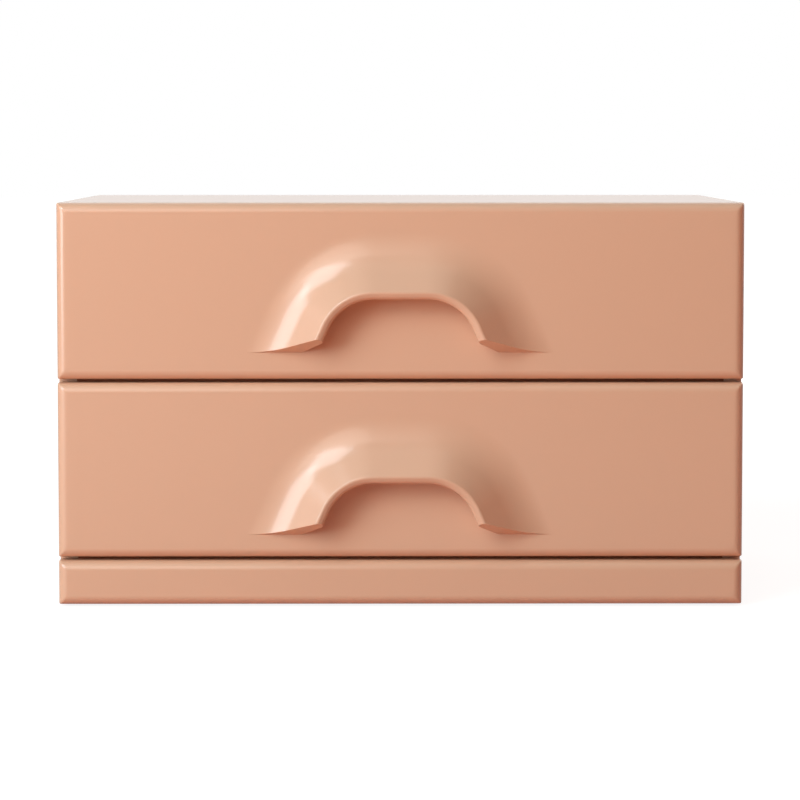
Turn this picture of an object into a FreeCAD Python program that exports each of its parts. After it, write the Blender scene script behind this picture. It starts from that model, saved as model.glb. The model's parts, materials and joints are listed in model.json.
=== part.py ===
import FreeCAD, Part
import math
import os

# A low chest with two drawers over a plinth, in millimetres.
# +Z is up, the fronts face -Y, and the origin is on the floor under the middle of the whole object.

# Overall sizes
case_width = 700.0
case_depth = 400.0  # from the face of the drawer fronts to the back of the case
case_height = 411.5  # from the underside of the plinth to the top
glide_height = 2.5
plinth_height = 45.5
reveal = 3.5  # gap between one front and the next
upper_front_extra = 1.0  # how much higher the upper front is than the lower one

# Drawer fronts and plinth fascia
front_thickness = 22.0
front_edge_radius = 10.0
front_clearance = 2.0  # from the back of a front to the edge of the case

# Pull: an arched ridge on each front, with a ramp outside, a crest, and an undercut wall inside
pull_height = 30.3  # from the face to the crest, before the crest is rounded
pull_half_flat = 27.0  # half of the straight stretch at the top of the arch
pull_crest_radius = 57.0
pull_leg_angle = 66.0  # degrees that the arch turns from level to a leg
pull_ramp_width = 38.5  # from below the crest to where the straight ramp would meet the face
pull_toe_radius = 42.0  # hollow that blends the ramp into the face
pull_band_width = 9.3  # rim band between the crest and the finger opening, before the rim is rounded
pull_band_drop = 5.31
pull_crest_round = 1.6
pull_rim_round = 6.0
pull_undercut = 7.5  # how far outside the crest the inner wall meets the face
pull_leg_drop = 62.2  # from the crest down to the foot of the leg facets
pull_facet_lean = 0.5  # rise of a leg facet for each millimetre out from the face
upper_pull_rise = 90.1  # from the lower edge of the front up to the crest
lower_pull_rise = 86.2

# Case boards
side_thickness = 18.0
top_thickness = 18.0
bottom_thickness = 18.0
case_edge_radius = 1.5
housing_depth = 6.0  # how far rails and the bottom panel reach into the sides
glue_gap = 0.1
back_thickness = 6.0
back_inset = 10.0
back_groove_depth = 6.0
spline_thickness = 4.0
spline_width = 14.0
spline_stop = 12.0  # from the ends of the mitre to the ends of the spline
middle_rail_thickness = 18.0
middle_rail_width = 80.0

# Plinth
plinth_rail_height = 36.0
plinth_rail_thickness = 18.0
rear_rail_inset = 30.0
fascia_screw_count = 3
fascia_screw_pitch = 240.0

# Floor glides and drawer bumpers
glide_radius = 8.0
glide_pin_radius = 1.5
glide_pin_length = 12.0
glide_end_distance = 28.0
bumper_radius = 4.0
bumper_clearance = 0.3
bumper_end_distance = 16.0

# Drawer boxes
box_rise = 18.0  # from the lower edge of a front to the underside of its box
box_drop = 31.0  # from the upper edge of the lower front to the rim of its box
box_depth = 355.0
box_board = 12.0
box_bottom_board = 6.0
box_bottom_rise = 8.0
box_groove_depth = 6.0
box_back_inset = 10.0
box_back_housing = 4.0
dovetail_pitch = 32.0
dovetail_pin = 9.0
dovetail_slope = 7.0  # run along the tail for each millimetre that its side leans

# Runners: a case member, a middle member and a drawer member, one inside the other
runner_length = 350.0
runner_space = 12.7  # between the case side and the drawer side
runner_height = 45.0
runner_setback = 2.0
runner_rise = 65.0  # from the underside of a box to the middle of its runners
runner_sheet = 1.2
runner_bend = 1.8  # outside radius of the bends
race_height = 3.2  # between two members, where the ball cage runs
case_member_depth = 9.5
middle_member_start = 3.6
middle_member_depth = 7.4
drawer_member_depth = 6.7
case_member_lip = 3.3
middle_member_lip = 3.1
drawer_travel = 340.0
cage_margin = 5.0
cage_clearance = 0.3
cage_width = 4.0
runner_hole_start = 35.0
runner_hole_pitch = 224.0

# Screws
rod_sides = 8  # how many sides the screws, pins and bumpers are drawn with
runner_screw_head_radius = 3.5
runner_screw_head_height = 2.0
runner_screw_radius = 1.75
runner_screw_length = 11.0
front_screw_head_radius = 4.5
front_screw_head_height = 2.5
front_screw_radius = 2.0
front_screw_bite = 12.0  # how deep it goes into a front or the fascia
front_screw_side_distance = 70.0
front_screw_edge_distance = 30.0
screw_gap = 0.1

# Places that follow from the sizes
touch = 0.05  # an edge this near a plane counts as on it
half_width = case_width / 2
inner_half = half_width - side_thickness
ramp_slope = math.atan2(pull_height, pull_ramp_width)
band_slope = math.atan2(pull_band_drop, pull_band_width)
crest_half_angle = (math.pi - ramp_slope - band_slope) / 2
crest_loss = pull_crest_round * (math.cos((ramp_slope - band_slope) / 2) / math.sin(crest_half_angle) - 1)
pull_projection = pull_height - crest_loss
overall_depth = case_depth + pull_projection
face_y = pull_projection - overall_depth / 2
back_y = overall_depth / 2
front_back_y = face_y + front_thickness
case_front_y = front_back_y + front_clearance
plinth_top = glide_height + plinth_height
fronts_height = case_height - plinth_height - 2 * reveal
lower_front_height = (fronts_height - upper_front_extra) / 2
upper_front_height = (fronts_height + upper_front_extra) / 2
lower_front_bottom = plinth_top + reveal
lower_front_top = lower_front_bottom + lower_front_height
upper_front_bottom = lower_front_top + reveal
case_top = upper_front_bottom + upper_front_height
bottom_underside = glide_height + plinth_rail_height
bottom_top = bottom_underside + bottom_thickness
top_underside = case_top - top_thickness
middle_rail_underside = lower_front_top + (reveal - middle_rail_thickness) / 2
back_panel_y = back_y - back_inset - back_thickness
box_half = inner_half - runner_space
box_height = lower_front_height - box_rise - box_drop
box_back_y = front_back_y + box_depth - box_back_inset - box_board
runner_front_y = case_front_y + runner_setback
middle_height = runner_height - 2 * (runner_sheet + race_height)
drawer_member_height = middle_height - 2 * (runner_sheet + race_height)

X = FreeCAD.Vector(1, 0, 0)
Y = FreeCAD.Vector(0, 1, 0)
Z = FreeCAD.Vector(0, 0, 1)


def block(low, high):
    """A box between two opposite corners."""
    size = [b - a for a, b in zip(low, high)]
    return Part.makeBox(size[0], size[1], size[2], FreeCAD.Vector(*low))


def rounded_corner(before, here, after, radius):
    """Start, middle and end of the arc that rounds the corner here between two other corners."""
    spot = FreeCAD.Vector(*here, 0)
    back = FreeCAD.Vector(*before, 0).sub(spot).normalize()
    ahead = FreeCAD.Vector(*after, 0).sub(spot).normalize()
    half = back.getAngle(ahead) / 2
    middle = back.add(ahead).normalize()
    reach = radius / math.tan(half)
    deep = radius / math.sin(half) - radius
    return [spot + back * reach, spot + middle * deep, spot + ahead * reach]


def rounded_wire(corners, place):
    """A closed wire through corners (a, b, radius); place turns (a, b) into a point in space."""
    stops = []
    count = len(corners)
    for i, (a, b, radius) in enumerate(corners):
        if radius:
            stops.append(rounded_corner(corners[i - 1][:2], (a, b), corners[(i + 1) % count][:2], radius))
        else:
            stops.append([FreeCAD.Vector(a, b, 0)])
    edges = []
    for i, stop in enumerate(stops):
        spots = [place(p.x, p.y) for p in stop]
        if len(spots) > 1:
            edges.append(Part.Arc(*spots).toShape())
        following = stops[(i + 1) % count][0]
        edges.append(Part.makeLine(spots[-1], place(following.x, following.y)))
    return Part.Wire(edges)


def prism(corners, place, along):
    """A solid with the rounded outline, carried along a vector."""
    return Part.Face(rounded_wire(corners, place)).extrude(along)


def joined(solids):
    """One solid from solids that share faces."""
    whole = solids[0]
    for solid in solids[1:]:
        whole = whole.fuse(solid)
    return whole.removeSplitter()


def mirrored(shape):
    """The same shape on the other side of the middle plane."""
    return shape.mirror(FreeCAD.Vector(0, 0, 0), X)


def rod(radius, length, base, along):
    """A straight rod with few sides, which keeps the many small fasteners light."""
    level = along.cross(Z) if abs(along.z) < 1 else X
    across = along.cross(level)
    corners = []
    for i in range(rod_sides + 1):
        turn = 2 * math.pi * i / rod_sides
        corners.append(base + level * (radius * math.cos(turn)) + across * (radius * math.sin(turn)))
    return Part.Face(Part.makePolygon(corners)).extrude(along * length)


def screw(seat, inwards, head_radius, head_height, shank_radius, shank_length):
    """A pan-head screw: the head stands on its seat, the shank goes inwards."""
    head = rod(head_radius, head_height, seat - inwards * head_height, inwards)
    shank = rod(shank_radius, shank_length, seat, inwards)
    return joined([head, shank])


def screw_hole(seat, inwards, shank_radius, shank_length):
    """The hole that a screw's shank sits in."""
    return rod(shank_radius + screw_gap, shank_length + screw_gap, seat, inwards)


# Drawer fronts, pulls and plinth fascia
def rounded_front(bottom, top):
    """A board whose four front edges are rounded over."""
    board = block((-half_width, face_y, bottom), (half_width, front_back_y, top))
    edges = [e for e in board.Edges if abs(e.BoundBox.YMax - face_y) < touch]
    return board.makeFillet(front_edge_radius, edges)


def pull_section(place):
    """Closed section of the pull's ridge, from (outwards from the crest, out from the face)."""
    toe_reach = pull_toe_radius * math.tan(ramp_slope / 2)
    toe = FreeCAD.Vector(pull_ramp_width + toe_reach, 0, 0)
    hollow = FreeCAD.Vector(toe.x, pull_toe_radius, 0)
    rim = (-pull_band_width, pull_height - pull_band_drop)

    def on_hollow(angle):
        return hollow + FreeCAD.Vector(-math.sin(angle), -math.cos(angle), 0) * pull_toe_radius

    ramp_start = on_hollow(ramp_slope)
    crest_spot = (0.0, pull_height)
    foot = (pull_undercut, 0.0)
    crest = rounded_corner((ramp_start.x, ramp_start.y), crest_spot, rim, pull_crest_round)
    edge = rounded_corner(crest_spot, rim, foot, pull_rim_round)
    foot = FreeCAD.Vector(*foot, 0)

    def at(p):
        return place(p.x, p.y)

    return Part.Wire([
        Part.Arc(at(toe), at(on_hollow(ramp_slope / 2)), at(ramp_start)).toShape(),
        Part.makeLine(at(ramp_start), at(crest[0])),
        Part.Arc(*[at(p) for p in crest]).toShape(),
        Part.makeLine(at(crest[2]), at(edge[0])),
        Part.Arc(*[at(p) for p in edge]).toShape(),
        Part.makeLine(at(edge[2]), at(foot)),
        Part.makeLine(at(foot), at(toe)),
    ])


def pull(crest_z):
    """The arched ridge: a level stretch, two turned shoulders and two legs cut off by leaning facets."""
    centre_z = crest_z - pull_crest_radius
    turn = math.radians(pull_leg_angle)

    def level(u, p):
        return FreeCAD.Vector(-pull_half_flat, face_y - p, crest_z + u)

    section = Part.Face(pull_section(level))
    pieces = [section.extrude(X * (2 * pull_half_flat))]
    centre = FreeCAD.Vector(-pull_half_flat, face_y, centre_z)
    shoulder = section.revolve(centre, Y * -1, pull_leg_angle)
    outwards = FreeCAD.Vector(-math.sin(turn), 0, math.cos(turn))
    downwards = FreeCAD.Vector(-math.cos(turn), 0, -math.sin(turn))

    def at_leg(u, p):
        return centre + outwards * (pull_crest_radius + u) + Y * -p

    leg_length = 2 * (pull_leg_drop + pull_height) / math.sin(turn)
    leg = Part.Face(pull_section(at_leg)).extrude(downwards * leg_length)
    foot_z = crest_z - pull_leg_drop
    reach = 2 * pull_height
    wide = 2 * case_width
    below = prism(
        [
            (0, foot_z, 0),
            (reach, foot_z + pull_facet_lean * reach, 0),
            (reach, foot_z - wide, 0),
            (0, foot_z - wide, 0),
        ],
        lambda p, z: FreeCAD.Vector(-case_width, face_y - p, z),
        X * wide,
    )
    leg = leg.cut(below)
    pieces += [shoulder, leg, mirrored(shoulder), mirrored(leg)]
    return joined(pieces)


def front_screw_places(box_bottom):
    """Where the screws of a drawer front sit, across and up."""
    across = box_half - front_screw_side_distance
    low = box_bottom + front_screw_edge_distance
    high = box_bottom + box_height - front_screw_edge_distance
    return [(x, z) for x in (-across, across) for z in (low, high)]


def drawer_front(bottom, top, pull_rise):
    """A front with its pull in one piece, and blind holes for the screws behind it."""
    front = rounded_front(bottom, top).fuse(pull(bottom + pull_rise))
    for x, z in front_screw_places(bottom + box_rise):
        front = front.cut(
            screw_hole(FreeCAD.Vector(x, front_back_y, z), Y * -1, front_screw_radius, front_screw_bite)
        )
    return front.removeSplitter()


def front_screws(bottom):
    """The screws that hold a front on its box, heads inside the box."""
    places = front_screw_places(bottom + box_rise)
    length = box_board + front_screw_bite
    return Part.makeCompound([
        screw(
            FreeCAD.Vector(x, front_back_y + box_board, z),
            Y * -1,
            front_screw_head_radius,
            front_screw_head_height,
            front_screw_radius,
            length,
        )
        for x, z in places
    ])


def fascia_screw_places():
    """Where the fascia screws sit, across, at half the height of the rail behind."""
    first = -fascia_screw_pitch * (fascia_screw_count - 1) / 2
    return [first + fascia_screw_pitch * i for i in range(fascia_screw_count)]


def fascia_screw_seat(x):
    z = glide_height + plinth_rail_height / 2
    return FreeCAD.Vector(x, front_back_y + plinth_rail_thickness, z)


def plinth_fascia():
    fascia = rounded_front(glide_height, plinth_top)
    length = plinth_rail_thickness + front_screw_bite
    for x in fascia_screw_places():
        fascia = fascia.cut(screw_hole(fascia_screw_seat(x), Y * -1, front_screw_radius, length))
    return fascia


def fascia_screws():
    length = plinth_rail_thickness + front_screw_bite
    return Part.makeCompound([
        screw(
            fascia_screw_seat(x),
            Y * -1,
            front_screw_head_radius,
            front_screw_head_height,
            front_screw_radius,
            length,
        )
        for x in fascia_screw_places()
    ])


# Case
def case_block():
    """The outside of the case as one block, with its long outer edges eased."""
    whole = block((-half_width, case_front_y, glide_height), (half_width, back_y, case_top))

    def outer(edge):
        box = edge.BoundBox
        at_side = abs(box.XMin) > inner_half and abs(box.XMax - box.XMin) < touch
        along = box.YMax - box.YMin > touch
        at_back = box.YMin > back_y - touch
        at_top = box.ZMin > case_top - touch
        if along:
            return at_side and at_top
        return at_back and (at_side or at_top)

    return whole.makeFillet(case_edge_radius, [e for e in whole.Edges if outer(e)])


def spline(thickness_gap, end_gap):
    """The loose spline of the left mitre, grown by the gaps to give its groove."""
    corner = FreeCAD.Vector(-half_width, 0, case_top)
    inside = FreeCAD.Vector(-inner_half, 0, top_underside)
    middle = (corner + inside) * 0.5
    mitre = (inside - corner).normalize()
    across = FreeCAD.Vector(mitre.z, 0, -mitre.x)
    half_thick = spline_thickness / 2 + thickness_gap
    half_wide = spline_width / 2 + thickness_gap
    start = case_front_y + spline_stop - end_gap
    length = back_panel_y - spline_stop + end_gap - start

    def place(a, b):
        return middle + mitre * a + across * b + Y * start

    corners = [
        (-half_thick, -half_wide, 0),
        (half_thick, -half_wide, 0),
        (half_thick, half_wide, 0),
        (-half_thick, half_wide, 0),
    ]
    return prism(corners, place, Y * length)


def mitre_splines():
    left = spline(0, 0)
    return Part.makeCompound([left, mirrored(left)])


def back_groove():
    """The groove round the back panel, in the sides, the top and the bottom."""
    grow = glue_gap
    return block(
        (-inner_half - back_groove_depth - grow, back_panel_y - grow, bottom_top - back_groove_depth - grow),
        (inner_half + back_groove_depth + grow, back_panel_y + back_thickness + grow,
         top_underside + back_groove_depth + grow),
    )


def back_panel():
    return block(
        (-inner_half - back_groove_depth, back_panel_y, bottom_top - back_groove_depth),
        (inner_half + back_groove_depth, back_panel_y + back_thickness, top_underside + back_groove_depth),
    )


def bottom_panel_block(gap):
    """The bottom panel as a plain board, grown by the gap to give its housings."""
    return block(
        (-inner_half - housing_depth - gap, case_front_y - gap, bottom_underside),
        (inner_half + housing_depth + gap, back_y - back_inset + gap, bottom_top),
    )


def middle_rail(gap=0.0):
    """The front rail between the drawers, grown by the gap to give its housings."""
    return block(
        (-inner_half - housing_depth - gap, case_front_y - gap, middle_rail_underside),
        (
            inner_half + housing_depth + gap,
            case_front_y + middle_rail_width + gap,
            middle_rail_underside + middle_rail_thickness,
        ),
    )


def front_plinth_rail(gap=0.0):
    """The rail behind the fascia; it stands proud of the sides by the front clearance."""
    rail = block(
        (-inner_half - gap, front_back_y - gap, glide_height),
        (inner_half + gap, front_back_y + plinth_rail_thickness + gap, bottom_underside),
    )
    tongue = block(
        (-inner_half - housing_depth - gap, case_front_y - gap, glide_height),
        (inner_half + housing_depth + gap, front_back_y + plinth_rail_thickness + gap, bottom_underside),
    )
    return joined([rail, tongue])


def drilled_front_plinth_rail():
    rail = front_plinth_rail()
    for x in fascia_screw_places():
        rail = rail.cut(
            screw_hole(fascia_screw_seat(x), Y * -1, front_screw_radius, plinth_rail_thickness)
        )
    return rail


def rear_plinth_rail(gap=0.0):
    rear = back_y - rear_rail_inset
    return block(
        (-inner_half - housing_depth - gap, rear - plinth_rail_thickness - gap, glide_height),
        (inner_half + housing_depth + gap, rear + gap, bottom_underside),
    )


def glide_places():
    x = half_width - side_thickness / 2
    return [(x, case_front_y + glide_end_distance), (x, back_y - glide_end_distance)]


def side_panel():
    """The left side: mitred at the top, housed for the rails, grooved for the back."""
    board = prism(
        [
            (-half_width, glide_height, 0),
            (-inner_half, glide_height, 0),
            (-inner_half, top_underside, 0),
            (-half_width, case_top, 0),
        ],
        lambda x, z: FreeCAD.Vector(x, case_front_y, z),
        Y * (back_y - case_front_y),
    )
    panel = case_block().common(board)
    cutters = [
        bottom_panel_block(glue_gap),
        middle_rail(glue_gap),
        front_plinth_rail(glue_gap),
        rear_plinth_rail(glue_gap),
        back_groove(),
        spline(glue_gap, glue_gap),
    ]
    for x, y in glide_places():
        cutters.append(screw_hole(FreeCAD.Vector(-x, y, glide_height), Z, glide_pin_radius, glide_pin_length))
    for seat in case_runner_seats():
        cutters.append(screw_hole(seat, X * -1, runner_screw_radius, runner_screw_length))
    for cutter in cutters:
        panel = panel.cut(cutter)
    return panel


def top_panel():
    """The top, mitred at both ends to the sides."""
    board = prism(
        [
            (-half_width, case_top, 0),
            (half_width, case_top, 0),
            (inner_half, top_underside, 0),
            (-inner_half, top_underside, 0),
        ],
        lambda x, z: FreeCAD.Vector(x, case_front_y, z),
        Y * (back_y - case_front_y),
    )
    panel = case_block().common(board)
    groove = spline(glue_gap, glue_gap)
    for cutter in (back_groove(), groove, mirrored(groove)):
        panel = panel.cut(cutter)
    return panel


def bottom_panel():
    return bottom_panel_block(0.0).cut(back_groove())


def floor_glides():
    """Nail-in glides under the sides: a disc and its pin."""
    glides = []
    for x, y in glide_places():
        for side in (-x, x):
            disc = Part.makeCylinder(glide_radius, glide_height, FreeCAD.Vector(side, y, 0), Z)
            pin = rod(glide_pin_radius, glide_pin_length, FreeCAD.Vector(side, y, glide_height), Z)
            glides.append(joined([disc, pin]))
    return Part.makeCompound(glides)


def drawer_bumpers():
    """Soft discs on the front edges of the sides, that each front closes against."""
    thick = front_clearance - bumper_clearance
    x = half_width - side_thickness / 2
    discs = []
    for front_top in (lower_front_top, case_top):
        z = front_top - top_thickness - bumper_end_distance
        for side in (-x, x):
            discs.append(rod(bumper_radius, thick, FreeCAD.Vector(side, case_front_y, z), Y * -1))
    return Part.makeCompound(discs)


# Drawer boxes
def dovetails(box_bottom):
    """The tails at the front end of the left box side, as one compound of prisms."""
    count = max(1, round(box_height / dovetail_pitch))
    pitch = box_height / count
    wide = (pitch - dovetail_pin) / 2
    narrow = wide - box_board / dovetail_slope
    tails = []
    for i in range(count):
        z = box_bottom + pitch * (i + 0.5)
        tails.append(
            prism(
                [
                    (front_back_y, z - wide, 0),
                    (front_back_y, z + wide, 0),
                    (front_back_y + box_board, z + narrow, 0),
                    (front_back_y + box_board, z - narrow, 0),
                ],
                lambda y, z: FreeCAD.Vector(-box_half, y, z),
                X * box_board,
            )
        )
    return tails


def box_bottom_board_block(box_bottom, gap):
    """The drawer's bottom board, grown by the gap to give its grooves."""
    reach = box_groove_depth - glue_gap + gap
    z = box_bottom + box_bottom_rise
    return block(
        (-box_half + box_board - reach, front_back_y + box_board - reach, z - gap),
        (box_half - box_board + reach, box_back_y + reach, z + box_bottom_board + gap),
    )


def box_back_block(box_bottom, gap):
    """The drawer's back board, grown by the gap to give its housings."""
    reach = box_back_housing - glue_gap + gap
    return block(
        (-box_half + box_board - reach, box_back_y - gap, box_bottom),
        (box_half - box_board + reach, box_back_y + box_board + gap, box_bottom + box_height),
    )


def box_side(box_bottom):
    """The left side of a box, with tails in front, a groove for the bottom and a housing for the back."""
    board = block(
        (-box_half, front_back_y + box_board, box_bottom),
        (-box_half + box_board, front_back_y + box_depth, box_bottom + box_height),
    )
    side = joined([board] + dovetails(box_bottom))
    side = side.cut(box_bottom_board_block(box_bottom, glue_gap))
    side = side.cut(box_back_block(box_bottom, glue_gap))
    for seat in drawer_runner_seats(box_bottom):
        side = side.cut(screw_hole(seat, X, runner_screw_radius, runner_screw_length))
    return side


def box_front(box_bottom):
    """The front board of a box, with pins between the tails of both sides."""
    board = block(
        (-box_half, front_back_y, box_bottom),
        (box_half, front_back_y + box_board, box_bottom + box_height),
    )
    for tail in dovetails(box_bottom):
        board = board.cut(tail)
        board = board.cut(mirrored(tail))
    board = board.cut(box_bottom_board_block(box_bottom, glue_gap))
    for x, z in front_screw_places(box_bottom):
        seat = FreeCAD.Vector(x, front_back_y + box_board, z)
        board = board.cut(screw_hole(seat, Y * -1, front_screw_radius, box_board))
    return board


def box_back(box_bottom):
    board = box_back_block(box_bottom, 0.0)
    return board.cut(box_bottom_board_block(box_bottom, glue_gap))


# Runners
def channel(web, direction, depth, height, lip, z):
    """A bent-sheet channel on the left runner: web is the distance of its back from the case side."""
    half = height / 2
    inner = half - runner_sheet
    end = web + direction * depth
    inner_web = web + direction * runner_sheet
    corners = [(web, -half, runner_bend), (web, half, runner_bend)]
    if lip:
        inner_end = end - direction * runner_sheet
        upper = [
            (end, half, runner_bend),
            (end, half - lip, 0),
            (inner_end, half - lip, 0),
            (inner_end, inner, 0),
        ]
    else:
        upper = [(end, half, 0), (end, inner, 0)]
    corners += upper
    corners += [(inner_web, inner, 0), (inner_web, -inner, 0)]
    corners += [(a, -b, radius) for a, b, radius in reversed(upper)]

    def place(a, b):
        return FreeCAD.Vector(-inner_half + a, runner_front_y, z + b)

    return prism(corners, place, Y * runner_length)


def runner_hole_ys():
    first = runner_front_y + runner_hole_start
    return [first, first + runner_hole_pitch]


def runner_levels():
    """The heights of the middles of the runners, lower and upper."""
    return [front + box_rise + runner_rise for front in (lower_front_bottom, upper_front_bottom)]


def case_runner_seats():
    """Where screw heads sit on the webs of the left case members."""
    x = -inner_half + runner_sheet
    return [FreeCAD.Vector(x, y, z) for z in runner_levels() for y in runner_hole_ys()]


def drawer_runner_seats(box_bottom):
    """Where screw heads sit on the web of the left drawer member."""
    x = -box_half - runner_sheet
    return [FreeCAD.Vector(x, y, box_bottom + runner_rise) for y in runner_hole_ys()]


def case_member(z):
    member = channel(0.0, 1, case_member_depth, runner_height, case_member_lip, z)
    for seat in case_runner_seats():
        if abs(seat.z - z) < runner_height:
            member = member.cut(screw_hole(seat, X * -1, runner_screw_radius, runner_sheet))
    return member


def middle_member(z):
    return channel(middle_member_start, 1, middle_member_depth, middle_height, middle_member_lip, z)


def drawer_member(z):
    member = channel(runner_space, -1, drawer_member_depth, drawer_member_height, 0.0, z)
    for seat in drawer_runner_seats(z - runner_rise):
        member = member.cut(screw_hole(seat, X, runner_screw_radius, runner_sheet))
    return member


def ball_cages(start, race_middle, z):
    """Strips in the upper and lower races of both runners; start is their distance from the case side."""
    length = runner_length - drawer_travel / 2 - 2 * cage_margin
    front = runner_front_y + drawer_travel / 4 + cage_margin
    half_thick = race_height / 2 - cage_clearance
    strips = []
    for level in (z - race_middle, z + race_middle):
        left = block(
            (-inner_half + start, front, level - half_thick),
            (-inner_half + start + cage_width, front + length, level + half_thick),
        )
        strips += [left, mirrored(left)]
    return Part.makeCompound(strips)


def outer_cages(z):
    start = case_member_depth - runner_sheet - cage_clearance - cage_width
    return ball_cages(start, runner_height / 2 - runner_sheet - race_height / 2, z)


def inner_cages(z):
    start = middle_member_start + middle_member_depth - runner_sheet - cage_clearance - cage_width
    return ball_cages(start, middle_height / 2 - runner_sheet - race_height / 2, z)


def screws_at(seats, inwards):
    """Runner screws at the seats of the left side, and the same on the right."""
    left = [
        screw(
            seat,
            inwards,
            runner_screw_head_radius,
            runner_screw_head_height,
            runner_screw_radius,
            runner_screw_length,
        )
        for seat in seats
    ]
    return Part.makeCompound(left + [mirrored(s) for s in left])


def save(name, shape):
    shape.exportStep(os.path.join("parts", name + ".step"))


def save_pair(name, left):
    save(name + "_left", left)
    save(name + "_right", mirrored(left))


def make_case():
    save_pair("side_panel", side_panel())
    save("top_panel", top_panel())
    save("bottom_panel", bottom_panel())
    save("back_panel", back_panel())
    save("middle_rail", middle_rail())
    save("front_plinth_rail", drilled_front_plinth_rail())
    save("rear_plinth_rail", rear_plinth_rail())
    save("plinth_fascia", plinth_fascia())
    save("fascia_screws", fascia_screws())
    save("mitre_splines", mitre_splines())
    save("floor_glides", floor_glides())
    save("drawer_bumpers", drawer_bumpers())
    save("case_runner_screws", screws_at(case_runner_seats(), X * -1))


def make_drawer(name, bottom, top, pull_rise):
    box_bottom = bottom + box_rise
    level = box_bottom + runner_rise
    save(name + "_front", drawer_front(bottom, top, pull_rise))
    save(name + "_front_screws", front_screws(bottom))
    save(name + "_box_front", box_front(box_bottom))
    save(name + "_box_back", box_back(box_bottom))
    save(name + "_box_bottom", box_bottom_board_block(box_bottom, 0.0))
    save_pair(name + "_box_side", box_side(box_bottom))
    save_pair(name + "_case_member", case_member(level))
    save_pair(name + "_middle_member", middle_member(level))
    save_pair(name + "_drawer_member", drawer_member(level))
    save(name + "_outer_ball_cages", outer_cages(level))
    save(name + "_inner_ball_cages", inner_cages(level))
    save(name + "_runner_screws", screws_at(drawer_runner_seats(box_bottom), X))


os.makedirs("parts", exist_ok=True)
make_case()
make_drawer("lower", lower_front_bottom, lower_front_top, lower_pull_rise)
make_drawer("upper", upper_front_bottom, case_top, upper_pull_rise)
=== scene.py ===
"""A low chest with two lacquered drawers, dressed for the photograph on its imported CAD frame."""
import bpy
import bmesh
import json
import math
from mathutils import Matrix, Vector

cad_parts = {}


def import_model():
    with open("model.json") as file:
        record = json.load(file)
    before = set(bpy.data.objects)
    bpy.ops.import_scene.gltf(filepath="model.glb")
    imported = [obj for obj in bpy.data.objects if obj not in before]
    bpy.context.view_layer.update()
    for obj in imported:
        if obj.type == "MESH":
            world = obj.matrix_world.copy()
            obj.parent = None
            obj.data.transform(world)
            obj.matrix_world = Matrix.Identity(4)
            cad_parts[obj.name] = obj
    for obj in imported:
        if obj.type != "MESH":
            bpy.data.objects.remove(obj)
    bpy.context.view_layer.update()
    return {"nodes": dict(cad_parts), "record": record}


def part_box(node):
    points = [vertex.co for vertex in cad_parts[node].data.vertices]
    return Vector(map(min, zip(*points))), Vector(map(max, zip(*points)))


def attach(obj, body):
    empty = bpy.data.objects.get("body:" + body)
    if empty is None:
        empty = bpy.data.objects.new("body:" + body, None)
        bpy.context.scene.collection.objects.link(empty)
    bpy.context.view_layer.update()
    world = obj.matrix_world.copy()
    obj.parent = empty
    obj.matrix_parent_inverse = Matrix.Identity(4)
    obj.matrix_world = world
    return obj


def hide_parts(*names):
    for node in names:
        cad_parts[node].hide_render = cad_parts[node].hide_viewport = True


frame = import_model()
nodes = frame["nodes"]

RIGHT = Vector((1, 0, 0))
BACKWARDS = Vector((0, 1, 0))
same_point = 1e-6  # points that lie nearer than this are one
same_fine_point = 1e-7  # the same for small turned bodies
crease_angle = math.radians(32)  # faces that meet at less look like one surface

# Fronts, in metres; a size is the part's own where no comment says otherwise
front_thickness = 0.022
front_edge_radius = 0.010
front_edge_steps = 10
mitre_softness = 0.0016  # spraying and rubbing down soften the mitres of the round-overs
mitre_steps = 3

# Pulls
pull_height = 0.0303
pull_half_flat = 0.027
pull_crest_radius = 0.057
pull_leg_angle = math.radians(66)
pull_ramp_width = 0.0385
pull_toe_radius = 0.062  # spraying and rubbing down leave the toe softer than the drawn 42 mm
pull_toe_steps = 12
pull_shoulder_steps = 32
pull_band_width = 0.0093
pull_band_drop = 0.00531
pull_band_crown = 0.0007  # the band swells a little between crest and rim, where the drawn one is flat
pull_crest_round = 0.0030  # rubbed down from the drawn 1.6 mm
pull_rim_round = 0.0060
pull_undercut = 0.0075
pull_leg_drop = 0.0622
pull_facet_lean = 0.5
pull_rises = {"lower": 0.0862, "upper": 0.0901}
ramp_slope = math.atan2(pull_height, pull_ramp_width)
toe_place = pull_ramp_width + pull_toe_radius * math.tan(ramp_slope / 2)

# Case and boxes
case_board = 0.018
case_edge_radius = 0.0015
board_edge_radius = 0.0008  # sanded edges of the rails and the bottom
back_cover = 0.0002  # the bottom's rear edge stays this far inside the back panel's rear face
box_half_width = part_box("lower_box_side_right")[1].x
box_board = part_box("lower_box_front")[1].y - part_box("lower_box_front")[0].y
ply_thickness = 0.0012

# Screws with pan heads: the radius and height of the head, and the radius of the shank
board_screw = (0.0045, 0.0025, 0.002)
runner_screw = (0.0035, 0.002, 0.00175)

# Balls of the runners, which the part's cages stand in for
ball_radius = 0.00155
ball_pitch = 0.014
cage_edge_radius = 0.0004

# Light: cool daylight from the left, a warmer fill from the front and above, and warm bounces off the floor
# and off the room on the right
cool_daylight = (0.82, 0.94, 1.0)
warm_fill = (1.0, 0.9, 0.8)
plain_white = (1.0, 1.0, 1.0)
room_bounce = (1.0, 0.3, 0.15)
floor_bounce = (0.82, 0.32, 0.2, 1)
room_tint = (1.0, 0.88, 0.82, 1)
room_level = 1.0
lamp_target = (0, -0.15, 0.22)

# Camera, fitted to the outline of the chest in the photograph
camera_lens = 118.88
camera_shift = -0.12
camera_place = (-0.0141, -2.8636, 0.4744)
camera_tilt = math.radians(90 - 3.487)
camera_turn = math.radians(-0.288)


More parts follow.
